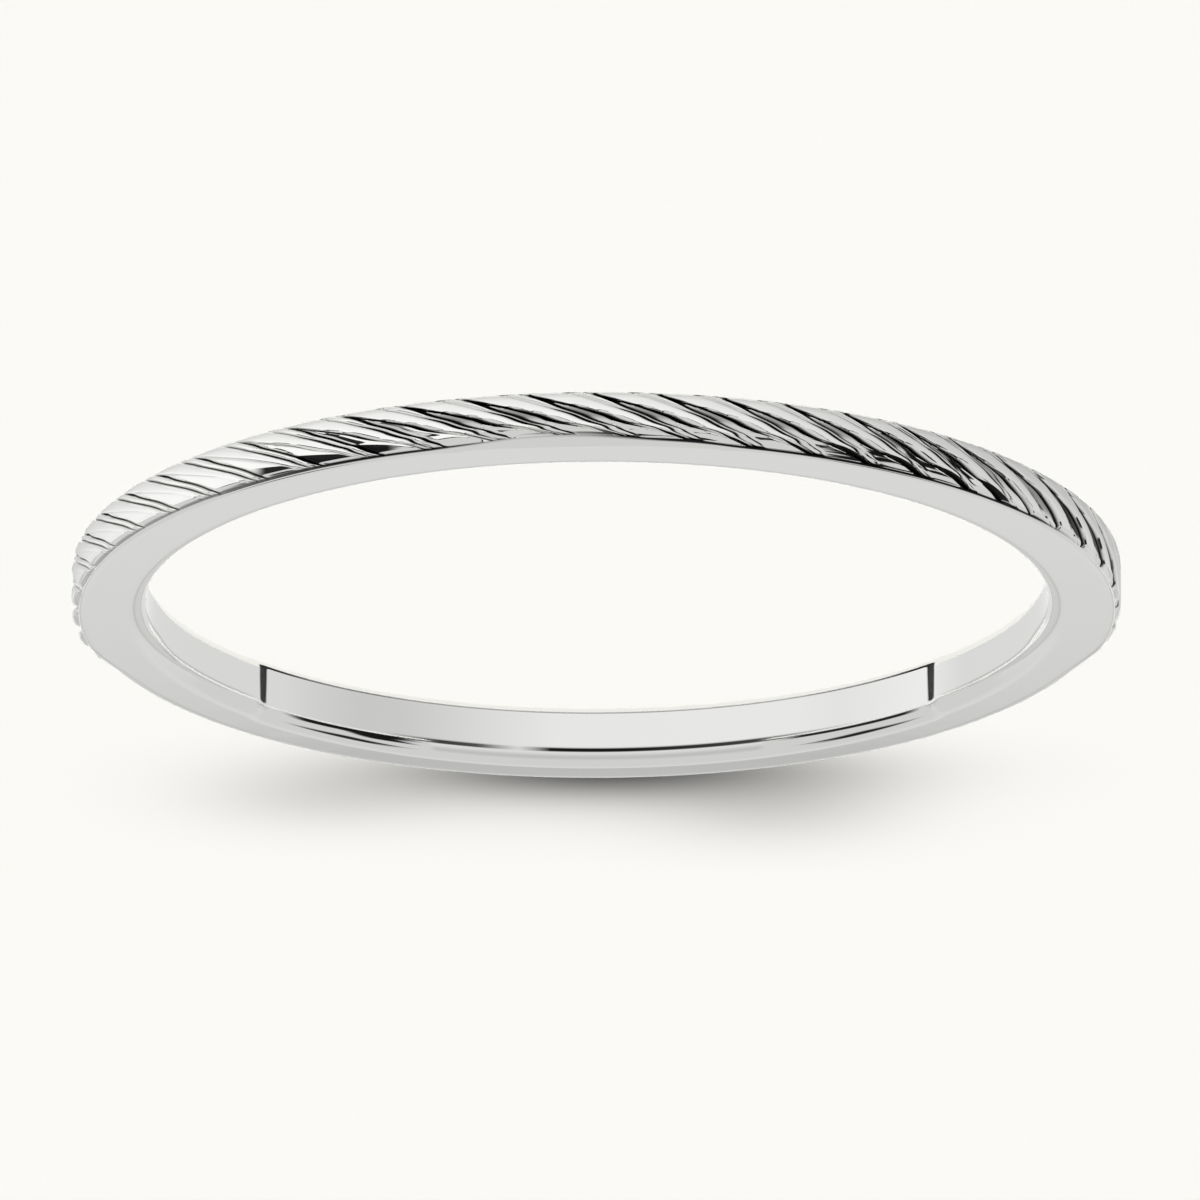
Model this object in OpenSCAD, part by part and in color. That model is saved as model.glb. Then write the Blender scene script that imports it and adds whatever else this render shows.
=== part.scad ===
// Rope twist ring: one cast band that lies on its side, in millimetres.
// The origin is the middle of the finger hole, +Z runs along that hole, and the
// middle of the rope faces -Y, so the plain shank and the inner recess face +Y.

/* [Finger hole] */
// Radius of the finger hole
bore_r = 8.65; // [7:0.05:11]
// Round on both edges of the finger hole
bore_round = 0.30; // [0.1:0.02:0.4]

/* [Band] */
// Width of the band along the finger
band_w = 1.18; // [1:0.02:2]
// Wall of the plain shank, from the finger hole to the outside
shank_wall = 1.31; // [1.2:0.01:1.8]
// Round on both outer edges of the plain shank
shank_round = 0.34; // [0.1:0.02:0.46]

/* [Rope] */
// Part of the turn that the rope covers, in degrees
rope_arc = 210; // [120:2:220]
// Wall under the rope, from the finger hole to the floor of the grooves
core_wall = 1.21; // [1:0.01:1.5]
// Height of the strands over that floor
strand_h = 0.18; // [0.1:0.01:0.3]
// Distance round the band from one deep groove to the next
strand_pitch = 1.223; // [0.9:0.01:1.8]
// Distance round the band that a groove covers on its way across
strand_run = 3.24; // [1:0.02:4]
// Inset of the strand ends from the front face
front_inset = 0.07; // [0.07:0.01:0.14]
// Inset of the strand ends from the back face, where the band is rounder
back_inset = 0.17; // [0.1:0.01:0.25]
// Round on the rim where the front face ends at the rope
rim_round = 0.06; // [0.02:0.01:0.06]

/* [Inner recess] */
// Part of the turn that the recess in the finger hole covers, in degrees
recess_arc = 97; // [40:1:110]
// Depth of the recess in the wall of the finger hole
recess_depth = 0.10; // [0.04:0.01:0.14]
// Width of the step that is left behind the recess
recess_ledge = 0.15; // [0.1:0.01:0.25]

/* [Hidden] */
$fn = 96;

// Places across the band and out from the axis
half_w = band_w / 2;
core_r = bore_r + core_wall;
crest_r = core_r + strand_h;
shank_r = bore_r + shank_wall;
rope_w = band_w - front_inset - back_inset;
// Round shoulder of the band under the rope, at the back
core_back_round = half_w * 0.85;
// Radius where the strands are rooted inside the band
root_r = core_r - core_back_round * 0.7;

// Turn from one deep groove to the next, and the lean of a groove in such turns
pitch_deg = strand_pitch / crest_r * 180 / PI;
lean = strand_run / strand_pitch;
// One deep groove leaves the back edge here, as a share of the pitch past the middle
phase = 0.227;
// Turn over which the strands sink into the plain shank at both ends
fade_deg = 4;
// Strand repeats, with those at both ends that have sunk away
side_repeats = floor((rope_arc / 2 + fade_deg) / pitch_deg) + 1;
first_repeat = -side_repeats - ceil(lean);
last_repeat = side_repeats;

// Rows across the rope, back edge to front rim. Columns: place as a share of the
// rope's width, broad strand and fine strand as shares of the pitch (the lobe has
// the rest), then depth of the deep groove and drop of the crests, as shares of the
// strand height.
PLACE = 0;
BROAD = 1;
FINE = 2;
DEPTH = 3;
DROP = 4;
ROWS = [
    [0.00, 0.68, 0.30, 0.20, 0.50],
    [0.10, 0.67, 0.30, 0.60, 0.00],
    [0.20, 0.64, 0.29, 0.85, 0.00],
    [0.35, 0.53, 0.19, 0.90, 0.00],
    [0.50, 0.49, 0.19, 0.92, 0.00],
    [0.67, 0.48, 0.18, 0.88, 0.00],
    [0.83, 0.19, 0.21, 0.62, 0.05],
    [1.00, 0.08, 0.21, 0.20, 0.35]
];

// Columns of one repeat. Strand 0 is the broad one, 1 the fine one and 2 the lobe.
// Columns: strand, place across that strand, and depth as a share of the deep groove.
COLUMNS = [
    [0, 0.00, 1.00],
    [0, 0.22, 0.12],
    [0, 0.75, 0.02],
    [1, 0.00, 0.45],
    [1, 0.50, 0.06],
    [2, 0.00, 0.50],
    [2, 0.50, 0.02]
];

// Place across the band, as Z, of a row
function row_z(row) = back_inset - half_w + rope_w * row[PLACE];

// Start and width of a strand in a row, and the place of a column, as shares of the pitch
function strand_start(row, strand) =
    strand == 0 ? 0 : strand == 1 ? row[BROAD] : row[BROAD] + row[FINE];
function strand_width(row, strand) =
    strand == 0 ? row[BROAD] : strand == 1 ? row[FINE] : 1 - row[BROAD] - row[FINE];
function column_place(row, column) =
    strand_start(row, column[0]) + column[1] * strand_width(row, column[0]);

// Turn from the middle of the rope of a column in a row, positive towards +X
function column_turn(row, repeat, column) =
    pitch_deg * (phase - repeat - column_place(row, column) - lean * row[PLACE]);

// 1 on the rope, 0 where its strands have sunk into the shank
function fade(turn) = max(0, min(1, (rope_arc / 2 + fade_deg - abs(turn)) / fade_deg));

// Radius of a column in a row
function column_r(row, column, turn) =
    let (full = crest_r - strand_h * (row[DROP] + row[DEPTH] * column[2]))
    root_r + (full - root_r) * (0.25 + 0.75 * fade(turn));

// Point at a radius, a turn from the middle of the rope and a place along Z
function at(r, turn, z) = [r * sin(turn), -r * cos(turn), z];

// Waste outside the round at a corner of a section. side is 1 at the outer wall and
// -1 at the finger hole, face is 1 at the front face and -1 at the back face.
module corner_waste(r, side, face, round) {
    translate([r, face * half_w])
        mirror([side < 0 ? 1 : 0, 0])
            mirror([0, face < 0 ? 1 : 0])
                difference() {
                    translate([-round, -round]) square(round * 2);
                    translate([-round, -round]) circle(round);
                }
}

// Section of the whole ring: the wall of the finger hole and the floor of the rope
module core_section() {
    difference() {
        translate([bore_r, -half_w]) square([core_wall, band_w]);
        corner_waste(bore_r, -1, 1, bore_round);
        corner_waste(bore_r, -1, -1, bore_round);
        corner_waste(core_r, 1, 1, rim_round);
        corner_waste(core_r, 1, -1, core_back_round);
    }
}

// Section of what the plain shank has on the outside of that ring
module shank_section() {
    difference() {
        translate([root_r, -half_w]) square([shank_r - root_r, band_w]);
        corner_waste(shank_r, 1, 1, shank_round);
        corner_waste(shank_r, 1, -1, shank_round);
    }
}

// Section of the recess: a shallow step in the wall that runs out at the front edge
module recess_section() {
    translate([bore_r - bore_round, recess_ledge - half_w])
        square([bore_round + recess_depth, band_w - recess_ledge]);
    corner_waste(bore_r + recess_depth, -1, 1, bore_round);
}

// Arc of the band, from one turn to another
module arc(from, to) {
    rotate([0, 0, from - 90]) rotate_extrude(angle = to - from, $fn = 180) children();
}

// Strands of the rope, as one closed skin rooted inside the band
module strands() {
    row_count = len(ROWS);
    column_count = (last_repeat - first_repeat) * len(COLUMNS);
    skin = [
        for (i = [0:column_count - 1])
            let (repeat = first_repeat + floor(i / len(COLUMNS)))
            let (column = COLUMNS[i % len(COLUMNS)])
            for (row = ROWS)
                let (turn = column_turn(row, repeat, column))
                at(column_r(row, column, turn), turn, row_z(row))
    ];
    root = [
        for (i = [0:column_count - 1])
            let (repeat = first_repeat + floor(i / len(COLUMNS)))
            let (column = COLUMNS[i % len(COLUMNS)])
            for (row = [ROWS[0], ROWS[row_count - 1]])
                at(root_r, column_turn(row, repeat, column), row_z(row))
    ];
    base = column_count * row_count;
    skin_faces = [
        for (i = [0:column_count - 2])
            for (j = [0:row_count - 2])
                let (a = i * row_count + j)
                let (b = a + row_count)
                for (face = [[a, b, b + 1], [a, b + 1, a + 1]]) face
    ];
    wall_faces = [
        for (i = [0:column_count - 2])
            let (a = i * row_count)
            let (b = a + row_count)
            let (top = row_count - 1)
            let (c = base + 2 * i)
            let (d = c + 2)
            for (face = [
                [a, c, d], [a, d, b],
                [a + top, b + top, d + 1], [a + top, d + 1, c + 1],
                [c, c + 1, d + 1], [c, d + 1, d]
            ]) face
    ];
    last = (column_count - 1) * row_count;
    end_faces = [
        [base + 1, base, for (j = [0:row_count - 1]) j],
        [
            base + 2 * column_count - 2, base + 2 * column_count - 1,
            for (j = [row_count - 1:-1:0]) last + j
        ]
    ];
    polyhedron(concat(skin, root), concat(skin_faces, wall_faces, end_faces), convexity = 10);
}

// The whole ring: rope in front, plain shank behind, recess in its finger hole
module band() {
    color("silver") {
        rope_end = rope_arc / 2;
        difference() {
            union() {
                rotate_extrude($fn = 180) core_section();
                arc(rope_end, 360 - rope_end) shank_section();
            }
            arc(180 - recess_arc / 2, 180 + recess_arc / 2) recess_section();
        }
        strands();
    }
}

band();
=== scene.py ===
"""Rope twist ring: the looks of the cast band, on a pale floor in soft studio light.

The band is one closed skin. It is a grid: its columns go round the finger and follow the strands
where the rope is, and its rows go once round the section of the band. Lengths are in millimetres
until a mesh is made, and turns are in degrees from the middle of the rope, positive towards +X.
"""

from __future__ import annotations

import logging
import math
from dataclasses import dataclass
from enum import IntEnum

import bpy
import numpy as np
from mathutils import Matrix, Vector

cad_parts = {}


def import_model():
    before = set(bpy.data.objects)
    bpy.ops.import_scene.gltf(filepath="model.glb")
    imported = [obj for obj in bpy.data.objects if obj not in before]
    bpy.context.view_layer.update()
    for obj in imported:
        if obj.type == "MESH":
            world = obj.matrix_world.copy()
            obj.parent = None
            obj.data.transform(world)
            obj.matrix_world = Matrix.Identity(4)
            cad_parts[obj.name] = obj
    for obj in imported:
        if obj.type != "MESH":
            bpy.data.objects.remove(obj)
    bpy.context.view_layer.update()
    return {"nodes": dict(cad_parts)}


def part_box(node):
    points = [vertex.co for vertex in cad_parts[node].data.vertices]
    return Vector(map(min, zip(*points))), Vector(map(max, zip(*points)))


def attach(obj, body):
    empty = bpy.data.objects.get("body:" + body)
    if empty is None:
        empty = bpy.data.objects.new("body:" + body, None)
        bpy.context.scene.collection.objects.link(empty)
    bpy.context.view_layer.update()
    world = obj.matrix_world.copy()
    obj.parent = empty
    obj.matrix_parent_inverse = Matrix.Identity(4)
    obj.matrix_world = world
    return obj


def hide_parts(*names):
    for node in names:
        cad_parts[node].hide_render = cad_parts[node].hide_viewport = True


LOG = logging.getLogger("rope_twist_ring")
MM = 0.001

Array = np.ndarray
Pair = tuple[float, float]
# Two values between which something grows, and two between which it fades
Span = tuple[float, float, float, float]
# A table of pairs, a place and the value there, with rising places
Table = tuple[Pair, ...]
# A table of rows of numbers
Rows = tuple[tuple[float, ...], ...]


class Strand(IntEnum):
    """The three strands that lie side by side in one repeat of the rope."""

    BROAD = 0
    FINE = 1
    LOBE = 2


class RowColumn(IntEnum):
    """Columns of the rope's table: shares of the pitch, drops as shares of the strand height,
    one width in millimetres, and the painted shade in each groove and the painted dark reflection
    in the lobe."""

    PLACE = 0
    BROAD = 1
    FINE = 2
    SWAY = 3
    DEEP_FLOOR = 4
    FAINT_FLOOR = 5
    THIN_FLOOR = 6
    BROAD_TOP = 7
    FINE_TOP = 8
    LOBE_TOP = 9
    LOBE_ROLL = 10
    DEEP_WALL = 11
    DEEP_SHADE = 12
    FAINT_SHADE = 13
    THIN_SHADE = 14
    LOBE_SHADE = 15


def smooth_step(x: Array) -> Array:
    """Eases from 0 to 1 with level ends: three x squared less two x cubed.

    Args:
        x: Values, limited to the span from 0 to 1.

    Returns:
        The eased values.
    """
    x = np.clip(x, 0.0, 1.0)
    return x * x * (3.0 - 2.0 * x)


def ramp(x: Array, start: float, stop: float) -> Array:
    """Eases from 0 at one value of x to 1 at another, with level ends."""
    return smooth_step((x - start) / (stop - start))


def window(x: Array, span: Span) -> Array:
    """Eases up between the first two values of a span, and down between the last two."""
    return ramp(x, span[0], span[1]) * (1.0 - ramp(x, span[2], span[3]))


def mix(start: Array | float, stop: Array | float, share: Array) -> Array:
    """Goes from one value to another by a share."""
    return start + (stop - start) * share


def hump(x: Array) -> Array:
    """An arch over the span from 0 to 1: four times x times one less x."""
    return 4.0 * x * (1.0 - x)


def smooth_curve(x: Array, places: Array, values: Array) -> Array:
    """Carries a smooth curve through a few given values.

    The curve is a cubic between each two places, and its slope at a place is the mean of the
    slopes of the two straight lines that meet there.

    Args:
        x: Where to read the curve.
        places: The places of those values, rising.
        values: The values.

    Returns:
        The curve's values at x.
    """
    steps = np.diff(values) / np.diff(places)
    slopes = np.concatenate([steps[:1], (steps[:-1] + steps[1:]) / 2, steps[-1:]])
    i = np.clip(np.searchsorted(places, x, side="right") - 1, 0, len(places) - 2)
    span = places[i + 1] - places[i]
    t = np.clip((x - places[i]) / span, 0.0, 1.0)
    start = values[i] * (1 + 2 * t) * (1 - t) ** 2 + slopes[i] * span * t * (1 - t) ** 2
    end = values[i + 1] * t * t * (3 - 2 * t) - slopes[i + 1] * span * t * t * (1 - t)
    return start + end


def smooth_table(x: Array, table: Table) -> Array:
    """Carries a smooth curve through a table of pairs."""
    return smooth_curve(x, *np.array(table).T)


def straight_table(x: Array, table: Table) -> Array:
    """Carries straight lines through a table of pairs."""
    return np.interp(x, *np.array(table).T)


def around_axis(r: Array, turn: Array, z: Array) -> Array:
    """Points round the axis: radius times sine of the turn, less radius times cosine, and z."""
    a = np.radians(turn)
    return np.stack([r * np.sin(a), -r * np.cos(a), z], -1)


def pick(values: Array, index: Array) -> tuple[Array, Array]:
    """Picks the value at an index of the last axis, and the next one.

    Args:
        values: An array with one more axis than the index.
        index: Which value, for each point.

    Returns:
        The value at the index, and the one after it.
    """
    first = np.take_along_axis(values, index[..., None], -1)[..., 0]
    second = np.take_along_axis(values, index[..., None] + 1, -1)[..., 0]
    return first, second


def arc_points(
    centre: Pair, radius: float, start: float, stop: float, count: int
) -> Array:
    """Points along an arc of the section: centre plus radius times cosine and sine.

    Args:
        centre: Distance from the axis and place along it.
        radius: The arc's radius.
        start: First angle in degrees, 0 away from the axis and 90 towards +Z.
        stop: Last angle in degrees.
        count: How many points, both ends included.

    Returns:
        An array of count rows: distance from the axis, place along it.
    """
    a = np.radians(np.linspace(start, stop, count))
    return np.stack([centre[0] + radius * np.cos(a), centre[1] + radius * np.sin(a)], 1)


@dataclass(frozen=True)
class BandSizes:
    """Sizes of the band's sections, in millimetres, as the solid has them."""

    bore_r: float = 8.65
    width: float = 1.18
    bore_round: float = 0.30
    shank_wall: float = 1.31
    shank_round: float = 0.34
    core_wall: float = 1.21
    strand_h: float = 0.18
    front_inset: float = 0.07
    back_inset: float = 0.17
    rim_round: float = 0.06
    recess_arc: float = 97.0
    recess_depth: float = 0.10
    recess_ledge: float = 0.15

    @property
    def half_w(self) -> float:
        """Half of the band's width."""
        return self.width / 2

    @property
    def shank_r(self) -> float:
        """Outer radius of the plain shank."""
        return self.bore_r + self.shank_wall

    @property
    def core_r(self) -> float:
        """Radius of the floor of the grooves."""
        return self.bore_r + self.core_wall

    @property
    def crest_r(self) -> float:
        """Radius of the strands' crests."""
        return self.core_r + self.strand_h

    @property
    def rope_w(self) -> float:
        """Width of the rope."""
        return self.width - self.front_inset - self.back_inset


@dataclass
class Spots:
    """Spots on the rope's skin, as arrays of one shape. The last three are found on the way.

    Attributes:
        across: Place across the rope, 0 at its back edge and 1 at its front rim.
        flank: How far it is on a flank: 1 towards +X, -1 towards -X and 0 in the middle.
        strand: Which strand, as a Strand's number.
        local: Place across that strand, 0 to 1.
        turn: Turn from the middle of the rope.
    """

    across: Array
    flank: Array
    strand: Array | None = None
    local: Array | None = None
    turn: Array | None = None


@dataclass(frozen=True)
class RopeTwist:
    """The rope's pattern: where each strand lies, and how high its skin stands.

    Each row of the table is a line round the band. The heights in it are drops under the highest
    crest, as shares of the strand height, and the widths are shares of the pitch.
    """

    sizes: BandSizes
    pitch: float = 1.223
    run: float = 3.24
    phase: float = 0.227
    # Columns as RowColumn names them, for the middle of the rope and for its two flanks
    rows: Rows = (
        (0, 0.68, 0.3, 0, 0.85, 0.78, 0.8, 0.6, 0.62, 0.62, 0, 0.02, 0, 0, 0, 0),
        (0.05, 0.67, 0.3, 0, 0.45, 0.3, 0.38, 0.1, 0.12, 0.12, 0.02, 0.02, 0.1, 0.1, 0.1, 0),
        (0.12, 0.67, 0.29, 0, 0.65, 0.18, 0.45, 0, 0.02, 0.05, 0.08, 0.024, 1, 0.1, 0.8, 0),
        (0.2, 0.67, 0.26, 0, 0.8, 0.18, 0.6, 0, 0.02, 0.08, 0.14, 0.026, 1, 0.1, 0.8, 0.05),
        (0.35, 0.57, 0.17, 0.03, 0.9, 0.24, 0.65, 0, 0.03, 0.16, 0.24, 0.034, 1, 0.3, 0.8, 0.28),
        (0.5, 0.53, 0.15, 0, 1, 0.38, 0.7, 0, 0.03, 0.26, 0.34, 0.064, 1, 0.9, 0.8, 0.3),
        (0.63, 0.51, 0.15, -0.12, 1, 0.42, 0.75, 0, 0.03, 0.36, 0.36, 0.08, 1, 1, 0.8, 0.12),
        (0.7, 0.43, 0.16, -0.1, 0.8, 0.42, 0.8, 0, 0.03, 0.44, 0.28, 0.055, 0.6, 1, 0.8, 0),
        (0.77, 0.3, 0.18, 0.01, 0.64, 0.42, 0.85, 0.01, 0.04, 0.52, 0.14, 0.035, 0.1, 0.8, 0.8, 0),
        (0.86, 0.17, 0.21, 0, 0.66, 0.45, 0.92, 0.06, 0.1, 0.64, 0.04, 0.03, 0, 0.4, 0.9, 0),
        (0.95, 0.11, 0.21, 0, 0.94, 0.7, 0.97, 0.35, 0.4, 0.94, 0.01, 0.03, 0, 0.2, 0.9, 0),
        (1, 0.08, 0.21, 0, 1, 0.9, 0.98, 0.7, 0.75, 0.96, 0, 0.03, 0, 0.1, 0.4, 0),
    )
    rows_towards_plus_x: Rows = (
        (0, 0.75, 0.24, 0, 0.7, 0.75, 0.75, 0.6, 0.62, 0.62, 0, 0.03, 0, 0.1, 0.1, 0),
        (0.05, 0.72, 0.27, 0, 0.2, 0.3, 0.38, 0.14, 0.16, 0.16, 0, 0.03, 0, 0.3, 0.3, 0),
        (0.12, 0.68, 0.3, 0, 0.08, 0.36, 0.45, 0.02, 0.05, 0.04, 0, 0.03, 0, 0.8, 0.8, 0),
        (0.2, 0.63, 0.3, 0, 0.05, 0.38, 0.5, 0, 0.05, 0, 0, 0.03, 0, 0.8, 0.8, 0),
        (0.35, 0.5, 0.26, 0, 0.03, 0.4, 0.5, 0, 0.05, 0, 0, 0.03, 0, 0.8, 0.8, 0),
        (0.5, 0.4, 0.24, -0.01, 0.03, 0.4, 0.5, 0, 0.05, 0, 0, 0.03, 0, 0.8, 0.8, 0),
        (0.63, 0.33, 0.23, -0.04, 0.03, 0.42, 0.5, 0, 0.05, 0, 0, 0.03, 0, 0.8, 0.8, 0),
        (0.7, 0.29, 0.22, -0.06, 0.03, 0.42, 0.52, 0, 0.05, 0, 0, 0.03, 0, 0.8, 0.8, 0),
        (0.77, 0.26, 0.21, -0.1, 0.03, 0.42, 0.55, 0, 0.06, 0, 0, 0.03, 0, 0.8, 0.8, 0),
        (0.86, 0.22, 0.2, -0.16, 0.03, 0.42, 0.56, 0, 0.06, 0, 0, 0.03, 0, 0.7, 0.8, 0),
        (0.95, 0.18, 0.2, -0.22, 0.06, 0.44, 0.58, 0.01, 0.07, 0.01, 0, 0.03, 0, 0.6, 0.8, 0),
        (1, 0.16, 0.19, -0.24, 0.45, 0.65, 0.72, 0.34, 0.4, 0.34, 0, 0.03, 0, 0.4, 0.6, 0),
    )
    rows_towards_minus_x: Rows = (
        (0, 0.7, 0.27, 0, 0.7, 0.75, 0.75, 0.6, 0.62, 0.62, 0, 0.03, 0, 0, 0, 0),
        (0.05, 0.72, 0.25, -0.03, 0.3, 0.3, 0.3, 0.12, 0.14, 0.14, 0, 0.03, 0, 0.1, 0.1, 0),
        (0.12, 0.76, 0.2, -0.08, 0.4, 0.25, 0.4, 0, 0.02, 0.1, 0, 0.025, 0.7, 0.1, 0.3, 0.1),
        (0.2, 0.8, 0.16, -0.12, 0.65, 0.25, 0.55, 0, 0.02, 0.2, 0, 0.034, 1, 0.2, 0.8, 0.3),
        (0.35, 0.75, 0.1, -0.05, 0.85, 0.3, 0.7, 0, 0.03, 0.3, 0, 0.044, 1, 0.3, 1, 0.45),
        (0.5, 0.6, 0.09, 0.04, 0.95, 0.4, 0.75, 0, 0.03, 0.36, 0, 0.05, 1, 0.7, 1, 0.5),
        (0.63, 0.56, 0.08, -0.08, 0.95, 0.42, 0.8, 0, 0.03, 0.4, 0, 0.05, 1, 0.8, 1, 0.5),
        (0.7, 0.55, 0.08, -0.17, 0.95, 0.42, 0.8, 0, 0.03, 0.4, 0, 0.05, 1, 0.8, 1, 0.5),
        (0.77, 0.54, 0.1, -0.29, 0.95, 0.42, 0.8, 0, 0.04, 0.4, 0, 0.05, 1, 0.7, 1, 0.45),
        (0.86, 0.54, 0.13, -0.45, 0.92, 0.45, 0.8, 0.02, 0.08, 0.4, 0, 0.045, 1, 0.4, 1, 0.3),
        (0.95, 0.6, 0.18, -0.64, 0.85, 0.5, 0.8, 0.1, 0.18, 0.4, 0, 0.035, 0.9, 0.2, 0.8, 0.05),
        (1, 0.68, 0.22, -0.75, 0.85, 0.8, 0.9, 0.5, 0.62, 0.6, 0, 0.03, 0.4, 0.1, 0.2, 0),
    )
    # Painted dark reflection in the lobe: how dark it is, at turns, as a share of its column in
    # the table
    lobe_dark: Table = (
        (-90, 1.6), (-66, 1.35), (-60, 0.8), (-54, 0.68), (-46, 0.7), (-38, 0.75), (-30, 1),
    )
    # Which table holds at a turn: 0 is the middle's, 1 the +X flank's and -1 the -X flank's
    flanks: Table = ((-58, -1), (-46, -0.5), (-36, 0), (14, 0), (44, 1), (60, 1))
    # Painted dark reflection on the ends of the broad strands near the front rim, at turns
    facet_shade: Table = (
        (-56, 0), (-50, 0.6), (-44, 1), (-27, 1), (-22, 0.2), (-18, 0), (20, 0), (25, 0.8),
        (35, 0.9), (40, 0.2), (43, 0),
    )
    # That darkness starts along a slanting line: its place across the rope, how steep and how
    # slanting it is, and how far it is ahead. Of two numbers, the first is towards -X.
    facet_start: float = 0.70
    facet_steep: float = 3.6
    facet_slant: Pair = (1.0, 0.6)
    facet_ahead: float = 0.1
    # Where it has stopped, and the soft widths of its start and its stop
    facet_stop: Pair = (0.985, 0.955)
    facet_soft: Pair = (0.15, 0.03)
    # Painted shade in the crevice at the back edge: how dark it is at the thin strand and
    # elsewhere, its middle, and where it starts and stops to fade on both sides of that
    back_dark: Pair = (0.9, 0.27)
    back_place: float = 0.015
    back_reach: Pair = (0.012, 0.042)
    # Places across the rope between which the painted shade of the crevice at the front rim grows
    rim_reach: Pair = (0.968, 0.988)
    # How dark the painted shade in the grooves and the back crevice is, at turns from the middle
    # of the rope
    line_shade: Table = (
        (-110, 0.8), (-85, 1), (-20, 1), (12, 1), (25, 0.85), (40, 0.6), (75, 0.55), (110, 0.45),
    )
    # Two shallow folds in the lobe: place across it, width as a share of it, depth in
    # millimetres, and the darkness of the painted shade along it. Across the rope they grow between
    # the first two places of the span, and fade between the last two.
    folds: Rows = ((0.34, 0.10, 0.010, 0.8), (0.66, 0.10, 0.010, 0.8))
    fold_span: Span = (0.26, 0.34, 0.50, 0.62)
    # The same for the pillows of the +X flank
    flank_folds: Rows = (
        (0.20, 0.10, 0.005, 0.22),
        (0.84, 0.08, 0.006, 0.30),
    )
    flank_fold_span: Span = (0.10, 0.30, 0.60, 0.80)
    # Notches that the thin strand leaves in the front rim towards +X: turn, and their depth as a
    # share of the strand height. They grow between the two places across the rope.
    notches: Table = ((58, 0), (80, 0.35), (90, 0.75), (108, 0.9))
    notch_rise: Pair = (0.6, 0.9)
    # Painted shade in the crevice at the front rim, at turns from the middle of the rope
    rim_shade: Table = (
        (-90, 0.1), (-60, 0.35), (-48, 1), (-10, 1), (-3, 0.5), (2, 0.32), (11, 0.32), (15, 0.5),
        (22, 0.6), (34, 0.45), (50, 0.34), (70, 0.3), (90, 0.2),
    )
    # The front rim's lip: turn from the middle of the rope, and how far the lip reaches back
    lip: Table = (
        (-20, 0), (-15, 0.01), (-11, 0.055), (-5, 0.07), (0, 0.11), (5, 0.115), (8, 0.1),
        (13, 0.04), (18, 0),
    )
    # Share of a repeat's columns that each strand gets
    column_shares: tuple[float, ...] = (0.40, 0.26, 0.34)
    # How much those columns gather at the strand's two edges
    gather: float = 0.45
    # Width of the walls of the deep, faint and thin groove, in millimetres. The deep one's other
    # wall, on the broad strand's side, is in the table.
    walls: tuple[float, ...] = (0.025, 0.030, 0.030)
    # Height that each strand's own crown rises over a flat skin
    crown: float = 0.002
    # The same for the lobe and the broad strand together, where they are one on the +X flank, at
    # turns. The skin there is lowered by a share of it, so the crests stay low.
    pillow_level: float = 0.5
    pillow: Table = ((30, 0.004), (50, 0.011), (75, 0.014), (92, 0.05), (112, 0.06))

    @property
    def pitch_deg(self) -> float:
        """Turn from one deep groove to the next."""
        return math.degrees(self.pitch / self.sizes.crest_r)

    @property
    def lean(self) -> float:
        """How many pitches a groove runs round the band on its way across."""
        return self.run / self.pitch

    @property
    def pitch_across(self) -> float:
        """Distance between deep grooves, square to them."""
        return self.pitch * math.sin(math.atan2(self.sizes.rope_w, self.run))

    def curves(self, at: Spots, first: RowColumn, last: RowColumn) -> Array:
        """Columns of the tables as smooth curves across the rope, along one more axis.

        Args:
            at: Spots on the skin.
            first: First column.
            last: Last column.

        Returns:
            The middle's values, carried over to the flank's own by its share.
        """
        total = 0.0
        for rows, share in (
            (self.rows, 1.0 - np.abs(at.flank)),
            (self.rows_towards_plus_x, np.maximum(at.flank, 0.0)),
            (self.rows_towards_minus_x, np.maximum(-at.flank, 0.0)),
        ):
            table = np.array(rows)
            places = table[:, RowColumn.PLACE]
            columns = table[:, first : last + 1].T
            values = [smooth_curve(at.across, places, column) for column in columns]
            total = total + np.stack(values, -1) * share[..., None]
        return total

    def curve(self, at: Spots, column: RowColumn) -> Array:
        """One column of the tables as a smooth curve across the rope."""
        return self.curves(at, column, column)[..., 0]

    def strand_bounds(self, at: Spots) -> Array:
        """Shares of the pitch at which the strands begin, and the last one ends.

        Args:
            at: Spots on the skin.

        Returns:
            An array with one more axis of four values: 0, the faint groove, the thin one and 1.
        """
        ends = np.cumsum(self.curves(at, RowColumn.BROAD, RowColumn.FINE), -1)
        zero = np.zeros_like(ends[..., :1])
        return np.concatenate([zero, ends, zero + 1.0], -1)

    def place(self, at: Spots, repeat_share: Array) -> Array:
        """Finds where the columns of one repeat lie, and adds strand and local to the spots.

        Args:
            at: Spots on the skin.
            repeat_share: Share of the repeat's columns, 0 at its deep groove.

        Returns:
            The share of the pitch.
        """
        edges = np.concatenate([[0.0], np.cumsum(self.column_shares)])
        edges[-1] = 1.0
        at.strand = np.clip(np.searchsorted(edges, repeat_share, side="right") - 1, 0, 2)
        local = (repeat_share - edges[at.strand]) / (edges[at.strand + 1] - edges[at.strand])
        at.local = local - self.gather * np.sin(2 * np.pi * local) / (2 * np.pi)
        return mix(*pick(self.strand_bounds(at), at.strand), at.local)

    def shear(self, at: Spots, moved: Array) -> Array:
        """How far a column leaves its straight turn on its way across the rope.

        Args:
            at: Spots on the skin.
            moved: What the widths of the strands add to its share of the pitch.

        Returns:
            Less the pitch times the lean from the middle, the sway and that addition, in degrees.
        """
        lean = self.lean * (at.across - 0.5)
        return -self.pitch_deg * (lean + self.curve(at, RowColumn.SWAY) + moved)

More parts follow.
